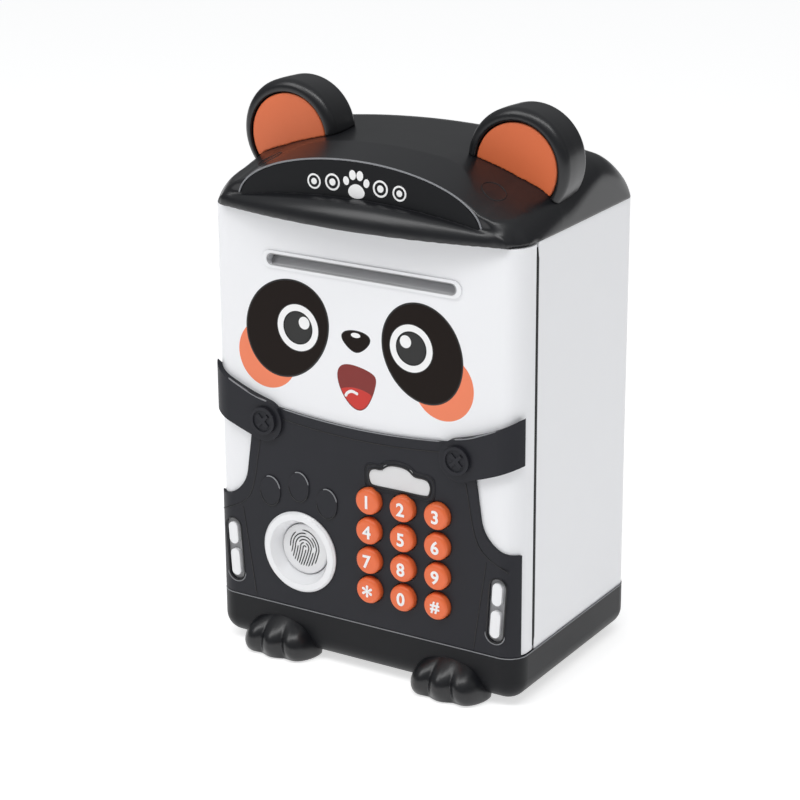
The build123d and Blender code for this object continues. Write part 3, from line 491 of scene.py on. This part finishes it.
for side, label in ((-1, "left"), (1, "right")):
    middle_x = side * EAR_X
    corner_low = (middle_x - EAR_R - 2, EAR_FRONT - 2, HEAD_LOW + 8)
    corner_high = (middle_x + EAR_R + 2, EAR_BACK + 2, EAR_Z + EAR_R + 2)
    ear = skin(f"{label}_ear_shell", ear_field(side), corner_low, corner_high,
               0.6, BLACK, "housing")
    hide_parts(f"{label}_ear")
    pad = skin(f"{label}_ear_inlay", pad_field(side), (corner_low[0], EAR_FRONT - 1, corner_low[2]),
               (corner_high[0], EAR_FRONT + 4, corner_high[2]), 0.6, EAR_ORANGE, "housing")
    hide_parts(f"{label}_ear_pad")


def surface_z(x, y):
    """Height of the head's skin over a point of the plan."""
    z0, z1 = HEAD_LOW, HEAD_TOP + 4
    for _ in range(24):
        mid = (z0 + z1) / 2
        if head_solid(np.array([x]), np.array([y]), np.array([mid]))[0] < 0:
            z0 = mid
        else:
            z1 = mid
    return z0


for side, label in ((-1, "left"), (1, "right")):
    ring = []
    for k in range(48):
        a = 2 * math.pi * k / 48
        x, y = side * PLUG_X + PLUG_R * math.cos(a), PLUG_Y + PLUG_R * math.sin(a)
        ring.append((x, y, surface_z(x, y)))
    # a dark ring of painted shade where the plug's groove meets the head
    groove = bead(f"{label}_plug_groove_shade", ring, 0.22, SHADE_LINE, "housing", closed=True, normal=(0, 0, 1))
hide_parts("head_plugs")


# ---------------------------------------------------------------- the brow plate and its motif
ARCH_POINTS = 72


def plate_outline(grow=0.0):
    """The arched plate above the lip: along the arch from right to left, then back over the lip."""
    points, count = [], ARCH_POINTS
    start = math.asin(min(1.0, (HEAD_LOW + float(lip_height(52.0)) - PLATE_Z) / PLATE_RISE))
    for k in range(count + 1):
        a = start + (math.pi - 2 * start) * k / count
        points.append(((PLATE_HALF + grow) * math.cos(a), PLATE_Z + (PLATE_RISE + grow) * math.sin(a)))
    left, right = points[-1][0], points[0][0]
    for k in range(1, count // 2):
        x = left + (right - left) * k / (count // 2)
        points.append((x, HEAD_LOW + float(lip_height(x)) - 0.3))
    return points


brow = printed("brow_inlay", plate_outline(), 0, BROW, "housing", face=HEAD_FRONT, thick=0.35)
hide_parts("brow_plate")
# a light grey bead round the brow plate: painted highlight on the plate's rim
rim = [(x, HEAD_FRONT - 0.15, z) for x, z in plate_outline(0.35)[:ARCH_POINTS + 1]]
bead("brow_rim_highlight", rim, 0.38, HIGHLIGHT_LINE, "housing")

MOTIF_FACE = HEAD_FRONT - 0.36
MOTIF_Z = PLATE_Z + 11.6
PRINT_TOES = ((-0.50, 0.10, 0.145), (-0.18, 0.38, 0.165), (0.18, 0.38, 0.165), (0.50, 0.10, 0.145))


def white_mark(name, outline, hole=None):
    """A white printed mark on the brow plate."""
    printed(name, outline, 0, INK_WHITE, "housing", face=MOTIF_FACE, hole=hole)


def paw_print(cx, cz, size):
    """A palm and four toes."""
    white_mark("motif_paw_palm", egg(cx, cz - 0.30 * size, 0.40 * size, 0.31 * size, 0, -0.15))
    for i, (dx, dz, r) in enumerate(PRINT_TOES):
        toe = egg(cx + dx * size, cz + dz * size, r * size, 1.3 * r * size, -22 * dx, 0, 40)
        white_mark(f"motif_paw_toe_{i}", toe)


def coin_mark(cx, cz, radius, tag):
    """A ring with a dot in it."""
    outer, inner = (egg(cx, cz, r, r, 0, 0, 56) for r in (radius, radius * 0.76))
    white_mark(f"motif_{tag}_ring", outer, hole=inner)
    white_mark(f"motif_{tag}_dot", egg(cx, cz, radius * 0.42, radius * 0.42, 0, 0, 40))


paw_print(0, MOTIF_Z, 9.0)
for side, label in ((-1, "left"), (1, "right")):
    coin_mark(side * 10.6, MOTIF_Z - 0.4, 3.3, f"{label}_coin")
    coin_mark(side * 18.9, MOTIF_Z - 1.1, 3.0, f"{label}_outer_coin")


# ---------------------------------------------------------------- the face printed on the door
def spot(name, outline, layer, material, **more):
    """A printed patch on the door's white face."""
    return printed(name, outline, layer, material, "door", **more)


def tongue_top(x):
    """The tongue's upper edge across the mouth."""
    return EYE_Z - 20.1 - 0.030 * (x + 3.0) ** 2


def gap_before(outline, k):
    """Squared distance from the point before point k of an outline to point k."""
    (x0, z0), (x1, z1) = outline[k - 1], outline[k]
    return (x1 - x0) ** 2 + (z1 - z0) ** 2


spot("left_cheek", egg(-43.4, EYE_Z - 13.0, 13.7, 13.9, 0), 0, INK_CHEEK)
spot("right_cheek", egg(36.6, EYE_Z - 13.0, 13.3, 13.5, 0), 0, INK_CHEEK)
for label, x, z, a, b, tilt, skew in (("left", -34.2, -0.6, 21.0, 18.1, 53.7, -0.056),
                                      ("right", 27.5, -1.4, 17.3, 20.1, 23.3, 0.03)):
    spot(f"{label}_patch_edge", egg(x, EYE_Z + z, a + 0.25, b + 0.25, tilt, skew), 1, INK_EDGE)
    spot(f"{label}_patch", egg(x, EYE_Z + z, a - 0.35, b - 0.35, tilt, skew), 2, INK)
for label, x, glint in (("left", -28.8, 2.95), ("right", 22.6, -2.5)):
    z = EYE_Z + 0.1
    spot(f"{label}_iris_edge", egg(x, z, 9.85, 9.85, 0), 3, INK_EDGE)
    spot(f"{label}_iris", egg(x, z, 9.45, 9.45, 0), 4, INK_WHITE, hole=egg(x, z, 6.75, 6.75, 0))
    spot(f"{label}_pupil_edge", egg(x, z, 6.85, 6.85, 0), 3, INK_EDGE, hole=egg(x, z, 6.3, 6.3, 0))
    spot(f"{label}_glint", egg(x + glint, z + 2.35, 2.5, 2.55, 0, 0, 48), 4, INK_WHITE)
spot("nose_edge", egg(-2.3, EYE_Z - 1.3, 6.25, 4.5, 0.5, 0.366), 0, INK_EDGE)
spot("nose", egg(-2.3, EYE_Z - 1.3, 5.9, 4.15, 0.5, 0.366), 1, INK)
spot("nose_glint", egg(-2.3, EYE_Z + 1.25, 2.15, 1.0, 0, 0, 48), 2, INK_WHITE)
mouth = egg(-1.3, EYE_Z - 18.6, 8.8, 8.8, -60.9, -0.483)
spot("mouth", mouth, 0, INK_MOUTH)
inside = egg(-1.3, EYE_Z - 18.6, 8.35, 8.35, -60.9, -0.483, 160)
under = [p for p in inside if p[1] < tongue_top(p[0])]
start = max(range(len(under)), key=lambda k: gap_before(under, k))
under = under[start:] + under[:start]
(x0, _), (x1, _) = under[-1], under[0]
tongue = under + [(x, tongue_top(x)) for x in np.linspace(x0, x1, 14)[1:-1]]
spot("tongue", tongue, 1, INK_TONGUE)
SHINE = ((-7.4, 0, -24.2), (-6.2, 0, -22.5), (-4.2, 0, -21.7), (-1.5, 0, -22.5))
shine = smooth_loop(SHINE, 8, closed=False)
bead("tongue_shine", [(p.x, FACE - 0.1, EYE_Z + p.z) for p in shine], 0.62, INK_WHITE, "door", flat=0.25)


# ---------------------------------------------------------------- seams as dark lines of painted shade, and raised lines on the dungarees
SIDE_HEM = ((47.2, 90.7), (48.6, 83.0), (50.0, 75.0), (52.6, 66.8), (57.6, 61.6), (66.4, 57.6))
POCKET_SEAM = ((56.4, 60.4), (54.4, 47.0), (52.3, 33.0), (50.9, 22.8))
STRAP_EDGE = ((42.8, 107.9), (46.5, 108.7), (50.5, 109.9), (54.5, 111.6), (58.5, 113.35), (61.0, 114.6))


def seam(name, controls, radius=0.22, material=SHADE_LINE, closed=False, per=8):
    """A fine line on the front of the dungarees, through (x, z) points; by default a dark line of painted
    shade in a moulded groove.
    """
    path = smooth_loop([(x, BIB, z) for x, z in controls], per, closed)
    return bead(name, path, radius, material, "door", closed=closed)


top_hem = [(x, 99.0 + 0.00175 * x * x) for x in np.linspace(-38, 38, 15)]
seam("top_hem", top_hem, per=4)
for side, label in ((-1, "left"), (1, "right")):
    seam(f"{label}_side_hem", [(side * x, z) for x, z in SIDE_HEM])
    seam(f"{label}_pocket_seam", [(side * x, z) for x, z in POCKET_SEAM])
window_x, window_z = middle("light_window", "x"), low("light_window", "z") + 3.5
half_w, half_h = 13.9, 3.5


def window_path(grow):
    """The window's outline, with its bump on top, moved outwards by grow."""
    w, h = half_w + grow, half_h + grow
    right = [(w - 3, -h), (w - 0.8, -h + 0.8), (w, -h + 3), (w, h - 2.6), (w - 0.9, h - 0.8), (w - 3, h)]
    bump = [(7.0 + 0.4 * grow, h + 0.2), (3.8 + 0.3 * grow, h + 2.3), (-0.6, h + 3.0),
            (-5.0 - 0.3 * grow, h + 2.3), (-8.2 - 0.4 * grow, h + 0.2)]
    left = [(-w + 3, h), (-w + 0.9, h - 0.8), (-w, h - 2.6),
            (-w, -h + 3), (-w + 0.8, -h + 0.8), (-w + 3, -h)]
    return [(window_x + x, window_z + z) for x, z in right + bump + left + [(0, -h)]]


# the dark outline and the dark line inside the raised emboss are painted shade; the emboss itself is the
# dungarees' own colour
seam("window_outline_shade", window_path(0.15), 0.42, material=SHADE_LINE, closed=True, per=5)
seam("window_emboss", window_path(1.9), 0.32, material=BIB_CLOTH, closed=True, per=5)
seam("window_emboss_shadow", window_path(1.45), 0.2, material=SHADE_LINE, closed=True, per=5)


# ---------------------------------------------------------------- painted highlights along edges, painted shade in shut lines and recesses, and the bill shutter
LIGHT_X, LIGHT_Z = middle("right_side_light", "x"), middle("right_side_light", "z")
LIGHT_TILT = 3.5
RIM_CORNER = 8.5                         # plan radius of the base's corners
TOE_MARKS = ((-42.7, 70.0), (-29.0, 74.2), (-15.8, 69.6))
MARK_HALF_X, MARK_HALF_Z = 4.8, 6.2

# light lines along the top edges of the bib and the straps: painted highlight
bib_top = [(x, BIB + 0.15, 103.4 + 0.00162 * x * x) for x in np.linspace(-36.5, 36.5, 40)]
bead("bib_top_highlight", bib_top, 0.26, HIGHLIGHT_LINE, "door")
for side, label in ((-1, "left"), (1, "right")):
    line = smooth_loop([(side * x, STRAP + 0.2, z) for x, z in STRAP_EDGE], 5, closed=False)
    bead(f"{label}_strap_edge_highlight", line, 0.3, HIGHLIGHT_LINE, "door")
    # a dark tube along each shut line: painted shade in the gap between the door and the housing
    shut_shade = [(side * (FACE_HALF - 0.5), SHUT_LINE_Y, z) for z in np.linspace(23, HEAD_LOW - 2, 40)]
    bead(f"{label}_shut_line_shade", shut_shade, 0.75, SHADE_LINE, "housing", normal=(side, 0, 0))
base_front, base_back = low("base_tray", "y"), high("base_tray", "y")
base_half, base_top = high("base_tray", "x"), high("base_tray", "z")
rim_path = []
rim_r = RIM_CORNER - 0.15
for sx, sy, first in ((1, 1, 0), (-1, 1, 90), (-1, -1, 180), (1, -1, 270)):
    cx = sx * (base_half - RIM_CORNER)
    cy = (base_back if sy > 0 else base_front) - sy * RIM_CORNER
    for k in range(10):
        a = math.radians(first + 10 * k)
        rim_path.append((cx + rim_r * math.cos(a), cy + rim_r * math.sin(a), base_top))
# a light line round the top edge of the base: painted highlight
bead("base_top_highlight", rim_path, 0.24, HIGHLIGHT_LINE, "housing", closed=True, normal=(0, 0, 1))


def pill_path(side, width, length, count=14):
    """The outline of a leaning round-ended recess in the dungarees."""
    tilt = math.radians(-side * LIGHT_TILT)
    half = (length - width) / 2
    out = []
    for centre_z, first in ((half, 0), (-half, 180)):
        for k in range(count + 1):
            a = math.radians(first + 180 * k / count)
            u, v = width / 2 * math.cos(a), centre_z + width / 2 * math.sin(a)
            out.append((side * LIGHT_X + u * math.cos(tilt) - v * math.sin(tilt),
                        LIGHT_Z + u * math.sin(tilt) + v * math.cos(tilt)))
    return out


for side, label in ((-1, "left"), (1, "right")):
    # in each side light's recess: a grey sheet of painted shade, a dark rim of painted shade round it, and a
    # light lip of painted highlight along its lower end
    printed(f"{label}_light_backing", pill_path(side, 7.0, 26.6), 0, RECESS_SHADE, "door", face=FACE, thick=0.06)
    rim = [(x, BIB, z) for x, z in pill_path(side, 7.5, 27.0)]
    bead(f"{label}_light_rim", rim, 0.3, SHADE_LINE, "door", closed=True)
    lower = [(x, BIB - 0.1, z) for x, z in pill_path(side, 8.6, 28.2)[15:]]
    bead(f"{label}_light_lip", lower, 0.22, HIGHLIGHT_LINE, "door")

# a light arc of painted highlight and a dark arc of painted shade round each raised toe mark
for i, (mark_x, mark_z) in enumerate(TOE_MARKS):
    for tag, start, end, material in (("light", 15, 110, HIGHLIGHT_LINE), ("shade", 185, 330, SHADE_LINE)):
        arc = []
        for a in np.radians(np.linspace(start, end, 20)):
            arc.append((mark_x + MARK_HALF_X * math.cos(a), BIB - 0.45, mark_z + MARK_HALF_Z * math.sin(a)))
        bead(f"toe_mark_{tag}_{i}", arc, 0.26, material, "door")

# the sloping shutter behind the bill slot, in mid grey as painted shade on its white plastic
def shutter_section(sag):
    """The shutter's profile: depth behind the white face, and height from the slot's middle."""
    return ((0.3, -2.35), (1.6, -2.0 + sag * 0.4), (3.2, -0.6 + sag), (4.6, 0.9), (4.9, 0.7), (3.4, -1.3),
            (0.6, -2.6))


NOTCH = ((-0.8, 3.6, 1.2), (0, 3.5, 1.3), (0.8, 3.6, 1.2))
slot_z, slot_half = middle("slot_bezel", "z"), high("slot_bezel", "x") - 2.3
ramp, faces = [], []
columns = np.linspace(-slot_half + 0.4, slot_half - 0.4, 25)
for x in columns:
    sag = 0.35 * (1 - (x / slot_half) ** 8)
    for depth, rise in shutter_section(sag):
        ramp.append((x, FACE + depth, slot_z + rise))
for i in range(len(columns) - 1):
    for k in range(7):
        m = (k + 1) % 7
        faces.append((i * 7 + k, i * 7 + m, (i + 1) * 7 + m, (i + 1) * 7 + k))
faces += [tuple(reversed(range(7))), tuple((len(columns) - 1) * 7 + k for k in range(7))]
piece("bill_shutter", ramp, faces, THROAT_SHADE, "door")
# dark notches along the shutter's top: painted shade
for i, x in enumerate((-4.0, 15.5, 25.5)):
    notch = [(x + dx, FACE + depth, slot_z + rise) for dx, depth, rise in NOTCH]
    bead(f"shutter_notch_{i}", notch, 0.55, SHADE_LINE, "door")
# a grey bead round the slot's inner edge, in the shutter's grey of painted shade
inner_edge = [(x, FACE - 0.62, z) for x, z in pill_flat(0, slot_z, slot_half - 0.1, 2.25)]
bead("slot_inner_edge", inner_edge, 0.16, THROAT_SHADE, "door", closed=True)


# ---------------------------------------------------------------- paws
# each toe's offset from the paw's middle, its front and its half width
TOES = ((-9.7, -51.3, 6.5), (0.0, -52.3, 6.7), (9.7, -51.3, 6.5))
TOE_Z, TOE_LENGTH, TOE_HEIGHT = 6.0, 10.0, 8.0


def paw_field(x, y, z):
    """Distance to a paw: three toes joined to a dome, flat underneath."""
    x = np.abs(x) - PAW_X
    toes = None
    for offset, front, wide in TOES:
        back, rise = y - (front + TOE_LENGTH), z - TOE_Z
        lean = x - offset * (1 - 0.018 * np.maximum(z - 2, 0))
        k = (lean / wide) ** 2 + (back / TOE_LENGTH) ** 2 + (rise / TOE_HEIGHT) ** 2
        grade = 2 * np.sqrt(((x - offset) / wide ** 2) ** 2 + (back / TOE_LENGTH ** 2) ** 2
                            + (rise / TOE_HEIGHT ** 2) ** 2)
        toe = (k - 1) / np.maximum(grade, 0.05)
        toes = toe if toes is None else np.minimum(toes, toe)
    dome = (np.sqrt((x / 15.6) ** 2 + ((y + 37.5) / 11.5) ** 2 + ((z - 2.0) / 15.8) ** 2) - 1) * 11.5
    whole = soft_join(toes, dome, 3.0)
    whole = np.maximum(whole, y - (BIB + 6.5))
    return round_meet(whole, 0.2 - z, 0.8)


for side, label in ((-1, "left"), (1, "right")):
    box_low, box_high = (side * PAW_X - 18, -54.0, -1.0), (side * PAW_X + 18, BIB + 8, 20.0)
    paw = skin(f"{label}_paw_toes", paw_field, box_low, box_high, 0.6, BLACK,
               "housing")
    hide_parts(f"{label}_paw")


# ---------------------------------------------------------------- key digits and the finger pad's ridges
CAP_SHARE = 0.70                         # height of a digit as a share of the font's size
DIGIT = 5.2


def glyph(text, node, height):
    """A raised white sign on a key's front."""
    curve = bpy.data.curves.new(f"digit_{node}", "FONT")
    curve.body = text
    curve.size = height / CAP_SHARE * MM
    curve.align_x, curve.align_y = "CENTER", "CENTER"
    curve.extrude = 0.12 * MM
    curve.offset = 0.13 * MM
    curve.bevel_depth = 0.05 * MM
    curve.resolution_u = 6
    maker = bpy.data.objects.new("maker", curve)
    bpy.context.scene.collection.objects.link(maker)
    bpy.context.view_layer.update()
    mesh = bpy.data.meshes.new_from_object(maker.evaluated_get(bpy.context.evaluated_depsgraph_get()))
    bpy.data.objects.remove(maker)
    co = np.array([v.co for v in mesh.vertices])
    centre = (co.min(0) + co.max(0)) / 2
    lo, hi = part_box(node)
    x, y = (lo.x + hi.x) / 2, lo.y
    z = (lo.z + hi.z) / 2
    turn = Matrix(((1, 0, 0, x - centre[0]), (0, 0, -1, y), (0, 1, 0, z - centre[1]), (0, 0, 0, 1)))
    mesh.transform(turn)
    mesh.materials.clear()
    mesh.materials.append(INK_WHITE)
    obj = bpy.data.objects.new(f"{node}_digit", mesh)
    bpy.context.scene.collection.objects.link(obj)
    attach(obj, node)
    return obj


for sign in "123456789":
    glyph(sign, f"key_{sign}", DIGIT)
glyph("0", "key_0", DIGIT)
glyph("*", "key_star", 7.5)
glyph("#", "key_hash", 4.6)

# ridges as nested arches, kept inside an oval and each broken by one short gap
RIDGE_OVAL = (7.1, 8.3)
pad_x, pad_z = middle("finger_pad", "x"), middle("finger_pad", "z")
pad_y = low("finger_pad", "y")
for ring in range(6):
    radius = 0.75 + 1.22 * ring
    turns = [math.radians(a) for a in range(0, 181, 9)]
    arch = [(radius * math.cos(a), radius * math.sin(a) * 1.1) for a in turns]
    foot = [(-radius - 0.20 * t - 0.012 * t * t, -t) for t in np.arange(0.6, 12, 0.6)]
    other = [(radius - 0.26 * t - 0.012 * t * t, -t) for t in np.arange(0.6, 12, 0.6)]
    whole = other[::-1] + arch + foot
    inside = [(u, v) for u, v in whole if (u / RIDGE_OVAL[0]) ** 2 + (v / RIDGE_OVAL[1]) ** 2 < 1]
    gap = len(inside) * (3 + 2 * (ring % 3)) // 10
    for part, run in enumerate((inside[:gap], inside[gap + 2:])):
        if len(run) > 2:
            path = [(pad_x + u, pad_y, pad_z + 0.6 + v) for u, v in run]
            bead(f"finger_ridge_{ring}_{part}", path, 0.27, RIDGE, "finger_pad", flat=0.7)


# ---------------------------------------------------------------- studio
def studio_material():
    """A pale floor that glows a little, so that it stays white under a soft light."""
    mat = bpy.data.materials.new("studio_floor")
    mat.use_nodes = True
    shader = mat.node_tree.nodes["Principled BSDF"]
    noise = mat.node_tree.nodes.new("ShaderNodeTexNoise")
    noise.inputs["Scale"].default_value = 30.0
    ramp = mat.node_tree.nodes.new("ShaderNodeMapRange")
    ramp.inputs["To Min"].default_value = 0.85
    ramp.inputs["To Max"].default_value = 0.95
    mat.node_tree.links.new(noise.outputs["Fac"], ramp.inputs["Value"])
    mat.node_tree.links.new(ramp.outputs["Result"], shader.inputs["Roughness"])
    shader.inputs["Base Color"].default_value = (0.8, 0.8, 0.8, 1)
    shader.inputs["Specular IOR Level"].default_value = 0.1
    shader.inputs["Emission Color"].default_value = (1, 1, 1, 1)
    shader.inputs["Emission Strength"].default_value = 0.62
    return mat


floor_mesh = bpy.data.meshes.new("studio_floor")
floor_mesh.from_pydata([(-6, -6, 0), (6, -6, 0), (6, 6, 0), (-6, 6, 0)], [], [(0, 1, 2, 3)])
floor_mesh.materials.append(studio_material())
floor = bpy.data.objects.new("studio_floor", floor_mesh)
bpy.context.scene.collection.objects.link(floor)

# a sky that is dim at the horizon and brighter overhead
world = bpy.data.worlds.new("studio")
bpy.context.scene.world = world
world.use_nodes = True
sky = world.node_tree
direction = sky.nodes.new("ShaderNodeTexCoord")
parts = sky.nodes.new("ShaderNodeSeparateXYZ")
height = sky.nodes.new("ShaderNodeMapRange")
height.inputs["From Min"].default_value = 0.0
height.inputs["From Max"].default_value = 0.9
height.inputs["To Min"].default_value = 0.10
height.inputs["To Max"].default_value = 0.50
sky.links.new(direction.outputs["Generated"], parts.inputs["Vector"])
sky.links.new(parts.outputs["Z"], height.inputs["Value"])
sky.links.new(height.outputs["Result"], sky.nodes["Background"].inputs["Strength"])
sky.nodes["Background"].inputs["Color"].default_value = (0.97, 0.985, 1.0, 1)


def softbox(name, azimuth, elevation, distance, size, power):
    """A white area light that faces the object's middle; distance and size in metres."""
    light = bpy.data.lights.new(name, "AREA")
    light.shape = "RECTANGLE"
    light.size, light.size_y = size
    light.energy = power
    obj = bpy.data.objects.new(name, light)
    a, e = math.radians(azimuth), math.radians(elevation)
    away = Vector((math.sin(a) * math.cos(e), -math.cos(a) * math.cos(e), math.sin(e)))
    obj.location = Vector((0, 0, 0.12)) + away * distance
    obj.rotation_mode = "QUATERNION"
    obj.rotation_quaternion = away.to_track_quat("Z", "Y")
    bpy.context.scene.collection.objects.link(obj)


softbox("key_softbox", -35, 45, 1.2, (0.5, 0.6), 3.2)
softbox("top_softbox", 30, 62, 1.1, (1.0, 0.25), 4.2)
softbox("side_softbox", 100, 20, 1.4, (0.16, 0.9), 0.15)

# ---------------------------------------------------------------- camera
AZIMUTH, ELEVATION, ROLL = math.radians(31.68), math.radians(19.24), math.radians(-0.354)
CAMERA_RIGHT, CAMERA_UP, CAMERA_BACK = -7.48, 97.23, 1032.3    # from the origin, along the camera's own axes
camera = bpy.data.objects.new("camera", bpy.data.cameras.new("camera"))
bpy.context.scene.collection.objects.link(camera)
level_share = math.cos(ELEVATION)
back = Vector((math.sin(AZIMUTH) * level_share, -math.cos(AZIMUTH) * level_share, math.sin(ELEVATION)))
level = Vector((math.cos(AZIMUTH), math.sin(AZIMUTH), 0))
upward = back.cross(level)
right = level * math.cos(ROLL) + upward * math.sin(ROLL)
upward = upward * math.cos(ROLL) - level * math.sin(ROLL)
place = (right * CAMERA_RIGHT + upward * CAMERA_UP + back * CAMERA_BACK) * MM
turn = Matrix((right, upward, back)).transposed().to_4x4()
turn.translation = place
camera.matrix_world = turn
camera.data.sensor_width = 36.0
camera.data.lens = 112.25
camera.data.dof.use_dof = False
camera.data.clip_end = 50.0
bpy.context.scene.camera = camera
bpy.context.scene.view_settings.view_transform = "Standard"
